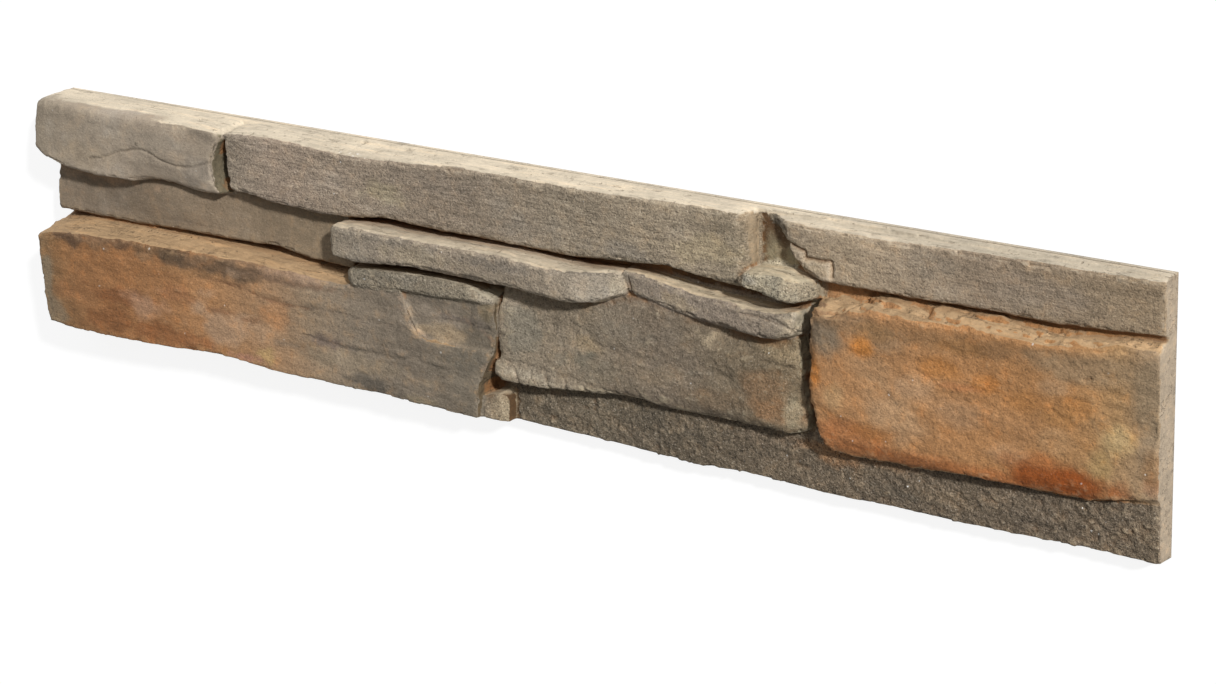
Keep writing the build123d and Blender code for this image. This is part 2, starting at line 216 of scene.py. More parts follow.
                  (246, 29, 14, 3.2, (0.16, 0.12, 0.095), 0.85), (275, 19, 40, 5, (0.3, 0.235, 0.158), 0.6),
                  (284, 8, 18, 4, (0.085, 0.073, 0.058), 0.8), (212, 22, 10, 1.5, (0.18, 0.14, 0.1), 0.5),
                  (340, 60, 26, 7, (0.32, 0.26, 0.195), 0.75), (352, 60, 16, 2, (0.19, 0.155, 0.13), 0.6),
                  (340, 49.5, 18, 5, (0.4, 0.3, 0.19), 0.8), (355, 36, 18, 6, (0.145, 0.125, 0.095), 0.7),
                  (375, 68, 4, 6, (0.2, 0.155, 0.09), 0.6), (372, 33, 3, 3, (0.3, 0.22, 0.15), 0.6),
                  (320, 5, 12, 3, (0.3, 0.24, 0.15), 0.5)],
        "veins": [([(188, 51), (200, 48.5), (214, 47.5), (232, 47.5)], 1.1, (0.17, 0.085, 0.045), 0.8),
                  ([(232, 47.5), (252, 49), (276, 47.5)], 0.9, (0.13, 0.1, 0.075), 0.75),
                  ([(270, 45.5), (296, 47.5), (312, 48.5)], 0.7, (0.14, 0.11, 0.085), 0.6),
                  ([(150, 55), (175, 54), (188, 51)], 0.8, (0.22, 0.11, 0.055), 0.5),
                  ([(256, 28), (280, 28), (300, 28), (314, 31), (322, 30), (338, 28)], 0.8,
                   (0.1, 0.085, 0.065), 0.75),
                  ([(307, 66), (307, 62), (311, 54.5), (319, 48), (326.5, 44)], 0.8, (0.38, 0.26, 0.17),
                   0.6), ([(326.5, 44), (344, 44), (358, 43.5), (371, 45)], 0.7, (0.4, 0.3, 0.2), 0.6),
                  ([(352, 60), (366, 58), (376, 59)], 0.7, (0.12, 0.1, 0.085), 0.6),
                  ([(370, 57), (377, 50)], 0.7, (0.35, 0.22, 0.16), 0.5)],
        "cracks": [([(150, 55), (188, 51), (214, 47.5), (252, 49), (276, 47.5), (312, 48.5)], 1.1, 0.35,
                    0.25, 0.8),
                   ([(225, 31), (256, 28), (300, 28), (314, 31), (340, 28)], 1.2, 0.45, 0.35, 0.8),
                   ([(331, 57), (350, 58), (376, 58)], 1.0, 0.4, 0.3, 0.6),
                   ([(320, 47), (327, 44), (344, 44), (358, 43.5), (374, 45)], 0.8, 0.2, -0.9, 0.6)],
        "crystals": [(62, 61.5, 1.0), (104, 68, 0.9), (54.5, 36.5, 0.8), (35, 39, 0.7), (127, 16, 0.7),
                     (52, 10, 0.7), (338, 38.5, 0.9), (335, 13, 0.6), (347, 13, 0.8)],
    },
    "middleBlock": {
        "outline": [(375, 27), (412, 27), (439, 29.5), (480, 33.5), (498, 31.5), (530, 32.5), (583, 32.5),
                    (594, 35), (595, 48), (590, 64), (584, 88), (575, 84), (560, 84), (520, 87), (490, 91),
                    (467, 93), (455, 88), (445, 86), (430, 88), (390, 89), (381, 89), (381, 56), (377, 40)],
        "tones": [(380, (0.294, 0.236, 0.168)), (400, (0.27, 0.218, 0.155)), (440, (0.235, 0.187, 0.13)),
                  (500, (0.193, 0.15, 0.106)), (540, (0.179, 0.139, 0.092)), (590, (0.183, 0.135, 0.081))],
        "ledge": (0.42, 0.36, 0.25), "end": (0.26, 0.217, 0.142), "warmth": 0.5, "streak": 0.35,
        "speckle": 0.95, "lamination": 0.2, "grit": 0.3, "flake": 0.65, "ledgeGrit": 0.5,
        "spots": [(398, 62, 14, 14, (0.2, 0.182, 0.14), 0.6), (388, 79, 8, 5, (0.34, 0.281, 0.208), 0.5),
                  (438, 49, 14, 5, (0.17, 0.153, 0.113), 0.7), (444, 60, 7, 4, (0.38, 0.286, 0.175), 0.7),
                  # The three pale spots along the bottom lip are partly its paler colour and partly a
                  # painted highlight where the lip catches the light.
                  (394, 34.5, 18, 2.3, (0.37, 0.31, 0.227), 0.95),
                  (424, 31.5, 18, 2.0, (0.36, 0.295, 0.213), 0.9),
                  (450, 33, 12, 2.5, (0.34, 0.281, 0.198), 0.7), (480, 85, 12, 4, (0.2, 0.153, 0.104), 0.6),
                  # The spot at 572, 78 is a painted highlight on the upward-tilted facet at the block's
                  # upper right.
                  (527, 76, 6, 4, (0.36, 0.286, 0.189), 0.7), (572, 78, 13, 6, (0.31, 0.236, 0.142), 0.85),
                  (565, 55, 14, 9, (0.25, 0.146, 0.074), 0.6), (575, 44, 14, 6, (0.29, 0.163, 0.08), 0.7),
                  (535, 45, 20, 6, (0.165, 0.113, 0.068), 0.6), (512, 60, 16, 8, (0.18, 0.143, 0.104), 0.6),
                  (585, 47, 4, 10, (0.29, 0.246, 0.161), 0.7), (470, 70, 18, 6, (0.2, 0.167, 0.123), 0.6),
                  (455, 45, 18, 6, (0.18, 0.148, 0.104), 0.6), (490, 50, 12, 6, (0.24, 0.182, 0.118), 0.5)],
        "veins": [([(422, 68), (424, 58), (428, 51)], 0.6, (0.12, 0.099, 0.076), 0.5),
                  ([(450, 76), (475, 70), (492, 66)], 0.7, (0.14, 0.113, 0.085), 0.5),
                  ([(436, 56), (444, 62), (448, 66)], 0.6, (0.13, 0.108, 0.08), 0.5),
                  ([(505, 48), (515, 55), (530, 58)], 0.7, (0.36, 0.305, 0.227), 0.5)],
        "cracks": [([(548, 82), (558, 71.5), (588, 70)], 0.9, 0.5, 0.4, 0.5),
                   ([(386, 40), (410, 39), (440, 37), (470, 36)], 1.6, 0.7, 0.0, 1.6),
                   ([(392, 37), (395, 29)], 0.9, 1.2, 0.0, 0.8),
                   ([(404, 36), (402, 28)], 0.8, 0.9, 0.0, 0.8),
                   ([(414, 35), (418, 28)], 0.9, 1.3, 0.0, 0.8),
                   ([(429, 35), (428, 29)], 0.8, 1.0, 0.0, 0.8),
                   ([(441, 35), (446, 30)], 0.9, 1.2, 0.0, 0.8),
                   ([(458, 36), (456, 31)], 0.8, 0.8, 0.0, 0.8),
                   ([(424, 66), (428, 50)], 0.9, 0.5, 0.3, 0.8)],
        "crystals": [(421, 63.5, 0.8), (430, 62, 0.7), (516, 63, 0.6), (517, 50, 0.8), (518, 47, 0.6)],
    },
    "rightBlock": {
        "outline": [(596, 62), (600, 46), (603, 35), (610, 29), (680, 30.5), (740, 31), (777, 33.5),
                    (806, 36.5), (806, 120.5), (769, 118.5), (729, 118), (685, 118.5), (650, 117.5),
                    (601, 118), (596, 112)],
        "tones": [(600, (0.39, 0.205, 0.09)), (640, (0.42, 0.22, 0.096)), (690, (0.385, 0.193, 0.078)),
                  (745, (0.375, 0.19, 0.075)), (775, (0.345, 0.205, 0.092)), (800, (0.28, 0.2, 0.125))],
        "ledge": (0.41, 0.272, 0.148), "end": sand, "warmth": 0.85, "streak": 0.15,
        "speckle": 0.65, "lamination": 0.1, "grit": 0.28, "flake": 0.45, "ledgeGrit": 1.4, "ragged": 0.3,
        "spots": [(606, 94, 13, 12, (0.225, 0.175, 0.118), 0.9),
                  (625, 103, 22, 5, (0.24, 0.155, 0.085), 0.8),
                  (690, 103, 50, 5, (0.27, 0.148, 0.066), 0.8), (765, 101, 34, 8, (0.3, 0.208, 0.12), 0.75),
                  (645, 97, 12, 6, (0.26, 0.175, 0.1), 0.6), (632, 91, 7, 5.5, (0.5, 0.2, 0.045), 0.9),
                  (602, 72, 4.5, 8, (0.5, 0.19, 0.04), 0.85), (678, 88, 12, 6, (0.44, 0.19, 0.055), 0.8),
                  (706, 84, 8, 5, (0.45, 0.185, 0.05), 0.8), (690, 80, 12, 2, (0.43, 0.18, 0.07), 0.6),
                  (730, 79, 12, 5, (0.42, 0.19, 0.06), 0.6), (757, 80, 8, 5, (0.43, 0.2, 0.065), 0.7),
                  (622, 41, 24, 8, (0.37, 0.15, 0.054), 0.85), (690, 34, 80, 6, (0.37, 0.135, 0.042), 0.85),
                  (652, 58, 17, 12, (0.44, 0.285, 0.16), 0.6), (616, 62, 6, 8, (0.45, 0.29, 0.145), 0.6),
                  (690, 66, 18, 8, (0.42, 0.26, 0.145), 0.5), (724, 62, 14, 9, (0.41, 0.22, 0.1), 0.5),
                  (778, 66, 9, 8, (0.44, 0.31, 0.15), 0.8), (770, 52, 6, 8, (0.33, 0.225, 0.095), 0.6),
                  (795, 90, 8, 20, (0.26, 0.19, 0.115), 0.65), (796, 62, 6, 12, (0.29, 0.21, 0.13), 0.6),
                  (797, 46, 5, 5, (0.33, 0.18, 0.1), 0.7), (640, 80, 14, 7, (0.41, 0.25, 0.13), 0.5),
                  (664, 75, 13, 6, (0.44, 0.28, 0.16), 0.6), (640, 72, 9, 5, (0.43, 0.265, 0.14), 0.5),
                  (720, 48, 13, 5, (0.43, 0.26, 0.14), 0.5), (745, 89, 9, 4, (0.37, 0.24, 0.135), 0.5),
                  (745, 61, 9, 6, (0.41, 0.25, 0.125), 0.5), (640, 101, 11, 5, (0.26, 0.14, 0.055), 0.6),
                  (692, 101, 15, 4, (0.27, 0.135, 0.048), 0.6), (640, 46, 14, 5, (0.35, 0.145, 0.042), 0.6),
                  (747, 74, 10, 5, (0.31, 0.155, 0.052), 0.5), (797, 53, 6, 10, (0.27, 0.14, 0.055), 0.6),
                  (738, 46, 20, 7, (0.34, 0.12, 0.036), 0.7), (749, 40, 28, 7, (0.25, 0.065, 0.011), 0.97)],
        "veins": [([(762, 78), (770, 66), (776, 54)], 0.8, (0.22, 0.16, 0.09), 0.4),
                  ([(648, 72), (653, 64)], 0.5, (0.18, 0.13, 0.08), 0.6)],
        "cracks": [([(621, 108), (626, 112), (630, 117)], 0.8, 1.5, 0.0, 0.3),
                   ([(760.5, 94.8), (764, 96.4)], 0.8, 1.3, 0.0, 0.0),
                   ([(666, 85), (676, 80.5), (686, 74)], 0.6, 0.45, 0.15, 0.4),
                   ([(743, 77), (747, 74), (752, 73)], 0.7, 0.5, 0.0, 0.4),
                   ([(640, 113.5), (660, 115), (668, 114)], 0.8, 0.9, 0.0, 0.6),
                   ([(690, 114), (705, 113)], 0.7, 0.9, 0.0, 0.6),
                   ([(716, 114.5), (732, 113.5)], 0.7, 0.9, 0.0, 0.6)],
        "crystals": [(732, 109.5, 0.8), (649, 68.5, 0.7)],
    },
    "chip": {
        "outline": [(365.5, -8), (384, -8), (384, 20), (372, 20.5), (365.5, 19)],
        "tones": [(366, (0.28, 0.222, 0.155)), (376, (0.32, 0.25, 0.165)), (384, (0.32, 0.26, 0.17))],
        "ledge": sand, "end": (0.1, 0.055, 0.024), "warmth": 0.3, "streak": 0.2,
        "speckle": 1.0, "lamination": 0.08, "grit": 0.3, "flake": 0.4,
        "spots": [(383.5, 6, 2, 16, (0.1, 0.055, 0.024), 0.95), (368, 17, 5, 4, (0.19, 0.12, 0.065), 0.7)],
    },
    "bottomStrip": {
        "outline": [(378, -8), (806, -8), (806, 44), (603, 44), (597, 38), (378, 38)],
        "tones": [(380, (0.161, 0.129, 0.09)), (430, (0.173, 0.14, 0.097)), (480, (0.142, 0.113, 0.078)),
                  (590, (0.175, 0.134, 0.091)), (740, (0.158, 0.121, 0.084)), (785, (0.163, 0.125, 0.086)),
                  (800, (0.182, 0.139, 0.094))],
        "ledge": sand, "end": sand, "warmth": 0.6, "streak": 0.4,
        "speckle": 1.6, "lamination": 0.2, "grit": 0.7, "flake": 0.4,
        "spots": [(606, 24, 14, 5, (0.3, 0.163, 0.078), 0.7), (640, 26, 20, 4, (0.27, 0.172, 0.1), 0.5),
                  (590, 27, 12, 3, (0.27, 0.158, 0.083), 0.6), (700, 22, 26, 4, (0.2, 0.153, 0.104), 0.5),
                  (500, 18, 24, 7, (0.12, 0.098, 0.07), 0.5), (640, 10, 22, 4, (0.13, 0.107, 0.078), 0.5),
                  (415, 14, 26, 8, (0.195, 0.153, 0.104), 0.5), (560, 24, 22, 4, (0.21, 0.158, 0.109), 0.5),
                  (680, 15, 24, 5, (0.21, 0.158, 0.104), 0.5), (770, 22, 20, 7, (0.18, 0.135, 0.09), 0.5),
                  (470, 10, 20, 5, (0.19, 0.149, 0.103), 0.4), (614, 27, 18, 3, (0.26, 0.14, 0.065), 0.6)],
        "veins": [([(630, 9), (660, 10), (690, 8)], 0.8, (0.09, 0.073, 0.052), 0.5),
                  ([(715, 12), (745, 11)], 0.8, (0.09, 0.073, 0.052), 0.5)],
        "crystals": [(450, 24, 0.7), (560, 19, 0.8), (575, 17, 0.7), (602, 22, 0.7), (702, 16, 0.8),
                     (708, 20, 0.7), (762, 14, 1.0), (766, 13, 0.7)],
    },
    "recessed": {
        "outline": [(-5, 60), (262, 60), (262, 120), (-5, 126)],
        "tones": [(0, (0.235, 0.182, 0.128)), (60, (0.236, 0.183, 0.128)), (150, (0.252, 0.188, 0.125)),
                  (240, (0.243, 0.183, 0.118))],
        "ledge": sand, "end": sand, "warmth": 0.4, "streak": 0.3,
        "speckle": 0.4, "lamination": 0.1, "grit": 0.1, "flake": 0.25,
        # The first spot is painted light: it lifts the shadow that topLeft casts here to a lighter brown.
        "spots": [(42, 104, 42, 4.5, (0.4, 0.275, 0.18), 0.8), (34, 88, 26, 8, (0.195, 0.152, 0.109), 0.7),
                  (120, 85, 14, 1.0, (0.13, 0.097, 0.069), 0.4)],
    },
}
# what a stone doesn't state for itself
usual = {"ledgeGrit": 0.45, "ragged": 0.65, "veins": [], "cracks": [], "crystals": []}
stones = {name: {**usual, **own} for name, own in stones.items()}
bed = {
    **usual,
    "tones": [(0, clay), (800, clay)], "ledge": clay, "end": clay, "warmth": 0.4, "streak": 0.0,
    "speckle": 0.5, "lamination": 0.0, "grit": 0.2, "flake": 0.1,
    "spots": [(580, 128, 20, 18, (0.27, 0.225, 0.14), 1.0),
              (556.5, 132, 2.2, 22, (0.15, 0.075, 0.03), 0.9)],
}


def hashed(cell, seed):
    # one repeatable number from -1 to 1 for each whole-numbered cell
    mixed = cell[:, 0] * 73856093 ^ cell[:, 1] * 19349663 ^ cell[:, 2] * 83492791 ^ seed * 26544357
    mixed = mixed & 0xFFFFFFFF
    mixed = ((mixed ^ (mixed >> 13)) * 1274126177) & 0xFFFFFFFF
    mixed = mixed ^ (mixed >> 16)
    return (mixed & 0xFFFF) / 32767.5 - 1


def cloud(points, seed):
    cell = np.floor(points).astype(np.int64)
    part = points - cell
    part = part * part * part * (part * (part * 6 - 15) + 10)
    total = np.zeros(len(points))
    for corner in itertools.product((0, 1), repeat=3):
        step = np.array(corner)
        total += np.prod(np.where(step, part, 1 - part), axis=1) * hashed(cell + step, seed)
    return total


def rough(points, size, octaves, seed):
    # layered noise of about -1 to 1; size is the largest lump, in millimetres
    total = np.zeros(len(points))
    share, whole = 1.0, 0.0
    spots = points / np.array(size, float)
    for octave in range(octaves):
        total += share * cloud(spots + 17.3 * octave, seed + octave)
        whole += share
        share *= 0.5
        spots = spots * 2.03
    return 1.6 * total / whole


def ease(value, low, high):
    part = np.clip((value - low) / (high - low), 0, 1)
    return part * part * (3 - 2 * part)


def inside(spots, outline):
    odd = np.zeros(len(spots), bool)
    for (x0, y0), (x1, y1) in zip(outline, outline[1:] + outline[:1]):
        crossing = (spots[:, 1] < y0) != (spots[:, 1] < y1)
        lean = (x1 - x0) / ((y1 - y0) or 1)
        odd ^= crossing & (spots[:, 0] < x0 + (spots[:, 1] - y0) * lean)
    return odd


def lineDistance(spots, line):
    # distance to a broken line, and which side of it each spot lies on
    nearest = np.full(len(spots), 1e6)
    side = np.zeros(len(spots))
    for start, end in zip(np.array(line[:-1], float), np.array(line[1:], float)):
        run = end - start
        along = np.clip((spots - start) @ run / (run @ run), 0, 1)
        gap = spots - start - along[:, None] * run
        reach = np.hypot(gap[:, 0], gap[:, 1])
        closer = reach < nearest
        nearest[closer] = reach[closer]
        side[closer] = np.sign(run[0] * gap[closer, 1] - run[1] * gap[closer, 0])
    return nearest, side


def stoneIndex(places):
    # number of the stone that each place belongs to; the bed comes last
    index = np.full(len(places), len(stones))
    for number, stone in enumerate(stones.values()):
        index[(index == len(stones)) & inside(places[:, :2], stone["outline"])] = number
    return index


def perStone(index, key):
    return np.array([stone[key] for stone in [*stones.values(), bed]], float)[index]


def readMesh(mesh):
    points = np.zeros(len(mesh.vertices) * 3)
    normals = np.zeros(len(mesh.vertices) * 3)
    ends = np.zeros(len(mesh.edges) * 2, int)
    mesh.vertices.foreach_get("co", points)
    mesh.vertex_normals.foreach_get("vector", normals)
    mesh.edges.foreach_get("vertices", ends)
    return points.reshape(-1, 3), normals.reshape(-1, 3), ends.reshape(-1, 2)


def spread(values, ends, rounds):
    # each value moves to the mean of its neighbours, several times over
    count = np.bincount(ends.ravel(), minlength=len(values))
    for turn in range(rounds):
        summed = np.zeros_like(values)
        for column in range(values.shape[1]):
            summed[:, column] = np.bincount(ends[:, 0], values[ends[:, 1], column], len(values))
            summed[:, column] += np.bincount(ends[:, 1], values[ends[:, 0], column], len(values))
        values = summed / count[:, None]
    return values


def evenSkin(node, voxel):
    # a closed skin of even small faces over a copy of the solid
    copy = bpy.data.objects.new("solidCopy", node.data.copy())
    scene.collection.objects.link(copy)
    joined = bmesh.new()
    joined.from_mesh(copy.data)
    bmesh.ops.remove_doubles(joined, verts=joined.verts, dist=1e-5)
    joined.to_mesh(copy.data)
    joined.free()
    remesh = copy.modifiers.new("even skin", "REMESH")
    remesh.mode = "VOXEL"
    remesh.voxel_size = voxel
    skin = bpy.data.meshes.new_from_object(copy.evaluated_get(bpy.context.evaluated_depsgraph_get()))
    bpy.data.objects.remove(copy)
    return skin


def thinned(mesh, triangles):
    holder = bpy.data.objects.new("skinCopy", mesh)
    scene.collection.objects.link(holder)
    faces = sum(len(polygon.vertices) - 2 for polygon in mesh.polygons)
    fewer = holder.modifiers.new("fewer faces", "DECIMATE")
    fewer.ratio = min(1, triangles / faces)
    fewer.use_collapse_triangulate = True
    result = bpy.data.meshes.new_from_object(holder.evaluated_get(bpy.context.evaluated_depsgraph_get()))
    bpy.data.objects.remove(holder)
    return result


def rounded(points, ends):
    # worn places: their points move to the mean of a wide ring of neighbours
    for along, up, halfWidth, halfHeight, turns in slip["rounds"]:
        places = (points - slipCorner) * 1000
        away = np.maximum(abs(places[:, 0] - along) / halfWidth, abs(places[:, 1] - up) / halfHeight)
        share = ease(-away, -1, -0.6) * ease(places[:, 2], 6, 12)
        near = away < 1.6
        number = np.cumsum(near) - 1
        part = points[near]
        moved = spread(part, number[ends[near[ends].all(axis=1)]], turns)
        points[near] = part + (moved - part) * share[near][:, None]
    return points


def swelled(places):
    # broad rises and falls of the faces, as millimetres along, up and out
    rise = np.zeros(len(places))
    for along, up, halfWidth, halfHeight, (start, whole, last, end), amount in slip["swells"]:
        away = np.hypot((places[:, 0] - along) / halfWidth, (places[:, 1] - up) / halfHeight)
        deep = ease(places[:, 2], start, whole) * ease(-places[:, 2], -end, -last)
        rise += amount * ease(1 - away, 0, 1) * deep
    out = np.zeros(len(places))
    for up, halfHeight, amount in slip["leftBulges"]:
        near = ease(1 - abs(places[:, 1] - up) / halfHeight, 0, 0.4) * ease(-places[:, 0], -26, -4)
        out -= amount * near * ease(places[:, 2], 2, 14) * (1 - 0.5 * ease(places[:, 2], 22, 34))
    return np.column_stack([out, slip["swellDrop"] * np.minimum(rise, 0), rise])


def evenNormals(normals, ends, rounds):
    smooth = spread(normals, ends, rounds)
    return smooth / (np.linalg.norm(smooth, axis=1)[:, None] + 1e-9)


def arrisHeight(points, normals, ends, rounds):
    # how far a point stands out of the mean of its neighbours, in millimetres
    return np.einsum("ij,ij->i", points - spread(points, ends, rounds), normals) * 1000


def rivenLift(places, index, front):
    # a split face: broad wave, thin layers, plates with sharp lips, and grit
    lumps = slip["lumps"]
    wander = np.column_stack([cloud(places / lumps["warp"], seed) for seed in (1, 2, 3)])
    warped = places + slip["warp"] * wander
    lift = slip["broadWave"] * front * rough(places, lumps["wave"], 2, 11)
    lift += perStone(index, "lamination") * front * rough(warped, lumps["lamination"], 3, 21)
    plates = rough(warped, lumps["plates"], 3, 31) * slip["plateSteps"]
    terrace = np.floor(plates) + ease(plates - np.floor(plates), 0.75, 1.0)
    lift += perStone(index, "flake") * front * terrace * slip["plateStep"]
    lift += perStone(index, "grit") * front * rough(places, lumps["grit"], 2, 41)
    return lift


def ledgeLift(places, index, side):
    # broken ledges: knobs and long slits
    lumps = slip["lumps"]
    coarse = perStone(index, "ledgeGrit") * side
    lift = coarse * (rough(places, lumps["ledge"], 4, 51) + 0.6 * rough(places, lumps["knobs"], 3, 57))
    lift -= 0.8 * coarse * np.exp(-(rough(places, lumps["slits"], 2, 61) / 0.1) ** 2)
    return lift


def chipLift(places, height):
    # what the arrises lose; the moulded outline is less chipped
    lumps = slip["lumps"]
    chipped = ease(rough(places, lumps["chips"], 3, 71), 0.05, 0.4)
    chipped += 0.2 * ease(cloud(places / lumps["fineChips"], 75), 0, 1)
    margin = np.minimum(np.minimum(places[:, 0], slip["length"] - places[:, 0]), places[:, 1] - 2)
    chipped *= 0.3 + 0.7 * ease(margin, 2, 9)
    return -slip["chipping"] * chipped * ease(height, 0.1, 0.5)


def crackLift(places, index, front):
    # each crack is a gash with a step on one side
    lift = np.zeros(len(places))
    wobble = np.column_stack([cloud(places / slip["lumps"]["wobble"], seed) for seed in (81, 82)])
    for number, stone in enumerate(stones.values()):
        own = index == number
        for line, width, depth, step, wander in stone["cracks"]:
            reach, flank = lineDistance(places[own, :2] + wander * wobble[own], line)
            gash = -depth * np.exp(-(reach / width) ** 2)
            shelf = step * (flank > 0) * np.exp(-(reach / slip["shelfWidth"]) ** 2)
            lift[own] += gash + shelf * front[own]
    return lift


def carve(mesh):
    # all relief moves the skin along its own normals
    points, normals, ends = readMesh(mesh)
    points = rounded(points, ends)
    places = (points - slipCorner) * 1000
    points += swelled(places) / 1000
    smooth = evenNormals(normals, ends, 4)
    height = arrisHeight(points, normals, ends, 7)
    index = stoneIndex(places)
    front = ease(smooth[:, 2], 0.35, 0.8)
    exposed = ease(smooth[:, 2], -0.6, -0.2) * ease(places[:, 2], 0.2, 1.5)      # not the back
    side = (1 - front) * exposed
    inner = side * (1 - outerMasks(places, smooth).max(axis=1))

    lift = rivenLift(places, index, front) + ledgeLift(places, index, inner)
    lift += slip["sideGrain"] * side * rough(places, slip["lumps"]["sides"], 3, 55)
    lift += (chipLift(places, height) + crackLift(places, index, front)) * exposed
    points += normals * (lift * (exposed > 0))[:, None] / 1000
    points[:, 2] = np.maximum(points[:, 2], 0)
    mesh.vertices.foreach_set("co", points.ravel())
    mesh.update()


def outerMasks(places, smooth):
    # how far each place is on the slip's own top, right end, left end, bottom and back
    topLine = slip["height"] - slip["sideLean"] * places[:, 2]
    backEdge = ease(places[:, 1] - topLine, -3.2, -2.2) * (places[:, 2] < 11)
    return np.column_stack([
        np.maximum(ease(smooth[:, 1], 0.6, 0.85) * ease(places[:, 1] - topLine, -3.0, -1.5), backEdge),
        ease(smooth[:, 0], 0.5, 0.8) * ease(places[:, 0], slip["length"] - 3, slip["length"] - 1.5),
        ease(-smooth[:, 0], 0.5, 0.8) * ease(-places[:, 0], -3, -1.5) * (smooth[:, 2] < 0.4),
        ease(-smooth[:, 1], 0.5, 0.8) * ease(-places[:, 1], -9, -7),
        ease(-smooth[:, 2], 0.4, 0.7)])


def mapCells(spots):
    # square millimetre of the height map
    cells = np.floor(spots + slip["mapMargin"]).astype(int)
    return tuple(np.clip(cells, 0, np.array(mapSize) - 1).T)


def filtered(heights, pick):
    for axis in (0, 1):
        steps = range(-slip["jointReach"], slip["jointReach"] + 1)
        heights = pick([np.roll(heights, step, axis) for step in steps], axis=0)
    return heights


def filledMap(mesh):
    # height of the face with its joints, cracks and pits filled level with their lower side
    points, normals, ends = readMesh(mesh)
    places = (points - slipCorner) * 1000
    heights = np.zeros(mapSize)
    np.maximum.at(heights, mapCells(places[:, :2]), places[:, 2])
    return filtered(filtered(heights, np.max), np.min)


def blended(first, second, share):
    return first + (np.asarray(second) - first) * share[:, None]


def spotShare(places, along, up, halfWidth, halfHeight, raggedness):
    # a ragged blot, 1 at its middle
    away = np.hypot((places[:, 0] - along) / halfWidth, (places[:, 1] - up) / halfHeight)
    share = np.zeros(len(places))
    near = away < 2.2
    lump = np.clip(np.array([1.6 * halfHeight, 1.1 * halfHeight, 1.1 * halfHeight]), 2.5, 14)
    ragged = raggedness * rough(places[near], lump, 3, int(along) + 500)
    share[near] = ease(1.45 - away[near] + ragged, 0, 0.9)
    return share


def stoneTint(stone, places):
    # tones along the stone, then its spots, then its veins
    stops = [place for place, colour in stone["tones"]]
    shades = np.array([colour for place, colour in stone["tones"]])
    drift = min(18, 0.06 * (stops[-1] - stops[0])) * cloud(places / 40, 101)
    along = places[:, 0] + drift
    tint = np.column_stack([np.interp(along, stops, shades[:, channel]) for channel in range(3)])
    for along, up, halfWidth, halfHeight, colour, strength in stone["spots"]:
        share = spotShare(places, along, up, halfWidth, halfHeight, stone["ragged"])
        tint = blended(tint, colour, strength * share)
    wobble = np.column_stack([cloud(places / 7, 81), cloud(places / 7, 82)])
    for line, width, colour, strength in stone["veins"]:
        reach, flank = lineDistance(places[:, :2] + 0.8 * wobble, line)
        broken = np.clip(0.7 + 0.8 * rough(places, (8, 3, 3), 2, 131), 0, 1)
        tint = blended(tint, colour, strength * broken * np.exp(-(reach / width) ** 2))
    return tint


def pigmentShare(places, smooth, outer):
    # the face is pigmented, and the grey also runs over the worn top left corner and its brow
    leftward = np.maximum(-smooth[:, 0], 0)
    upward = np.maximum(smooth[:, 1], 0)
    pigment = ease(smooth[:, 2] + 0.6 * leftward - 0.15 * upward, 0.36, 0.66) * (1 - outer[:, 0])
    ragged = rough(places, slip["lumps"]["worn"], 3, 141)
    corner = 1.25 - np.hypot((places[:, 0] + 2) / 36, (places[:, 2] - 32) / 26) + 0.4 * ragged
    brow = ease(places[:, 2] + 3 * ragged, 19, 30) * ease(-places[:, 0], -150, -95)
    worn = np.maximum(0.72 * ease(corner, 0, 1.1), 0.7 * brow)
    return np.maximum(pigment, worn * ease(places[:, 1], 138, 146))


def bareColour(index, places, smooth, outer):
    # cement of the ledges, the right ends of the stones and the slip's own sides
    rightward = ease(smooth[:, 0], 0.35, 0.7)[:, None]
    bare = perStone(index, "ledge") * (1 - rightward) + perStone(index, "end") * rightward
    for column, colour in enumerate(outerSides.values()):
        bare = blended(bare, colour, outer[:, column])
    return bare * (1 - slip["topFade"] * (outer[:, 0] * ease(places[:, 0], 540, 640))[:, None])


def paint(mesh, filled):
    # colours and masks for the finish, worked out at each corner of the skin
    points, normals, ends = readMesh(mesh)
    places = (points - slipCorner) * 1000
    smooth = evenNormals(normals, ends, 2)
    index = stoneIndex(places - slip["wallDepth"] * smooth * (1, 1, 0))
    tint = np.zeros((len(places), 3))
    crystal = np.zeros(len(places))
    for number, stone in enumerate([*stones.values(), bed]):
        own = index == number
        tint[own] = stoneTint(stone, places[own])
        for along, up, size in stone["crystals"]:
            away = np.hypot(places[:, 0] - along, places[:, 1] - up)
            crystal = np.maximum(crystal, np.exp(-(away / size) ** 2) * own)

    outer = outerMasks(places, smooth)
    plain = 1 - outer.max(axis=1)
    hollow = filled[mapCells(places[:, :2] + 2 * smooth[:, :2])] - places[:, 2]
    ledge = ease(smooth[:, 1], 0.3, 0.7) * ease(-hollow, -12, -5)      # an open ledge takes less of the darker brown and painted shade
    # darker brown where the face lies below its filled height, in joints, cracks and pits: partly the
    # joints' own brown, partly painted shade
    creviceTintAndShade = ease(hollow, 0.55, 3.2) * plain * (1 - 0.65 * ledge)
    height = arrisHeight(points, normals, ends, 4)
    wear = ease(height, 0.12, 0.5) * ease(smooth[:, 2], 0.2, 0.5) * plain
    layers = {
        "tint": tint,
        "bare": bareColour(index, places, smooth, outer),
        "masks": np.column_stack([pigmentShare(places, smooth, outer), creviceTintAndShade, wear]),
        "grain": np.column_stack([perStone(index, key) for key in ("streak", "speckle", "warmth")]),
        "marks": np.column_stack([outer[:, 0], crystal, np.zeros(len(places))]),
    }
    for name, values in layers.items():
        layer = mesh.attributes.new(name, "FLOAT_VECTOR", "POINT")
        layer.data.foreach_set("vector", values.astype(np.float32).ravel())


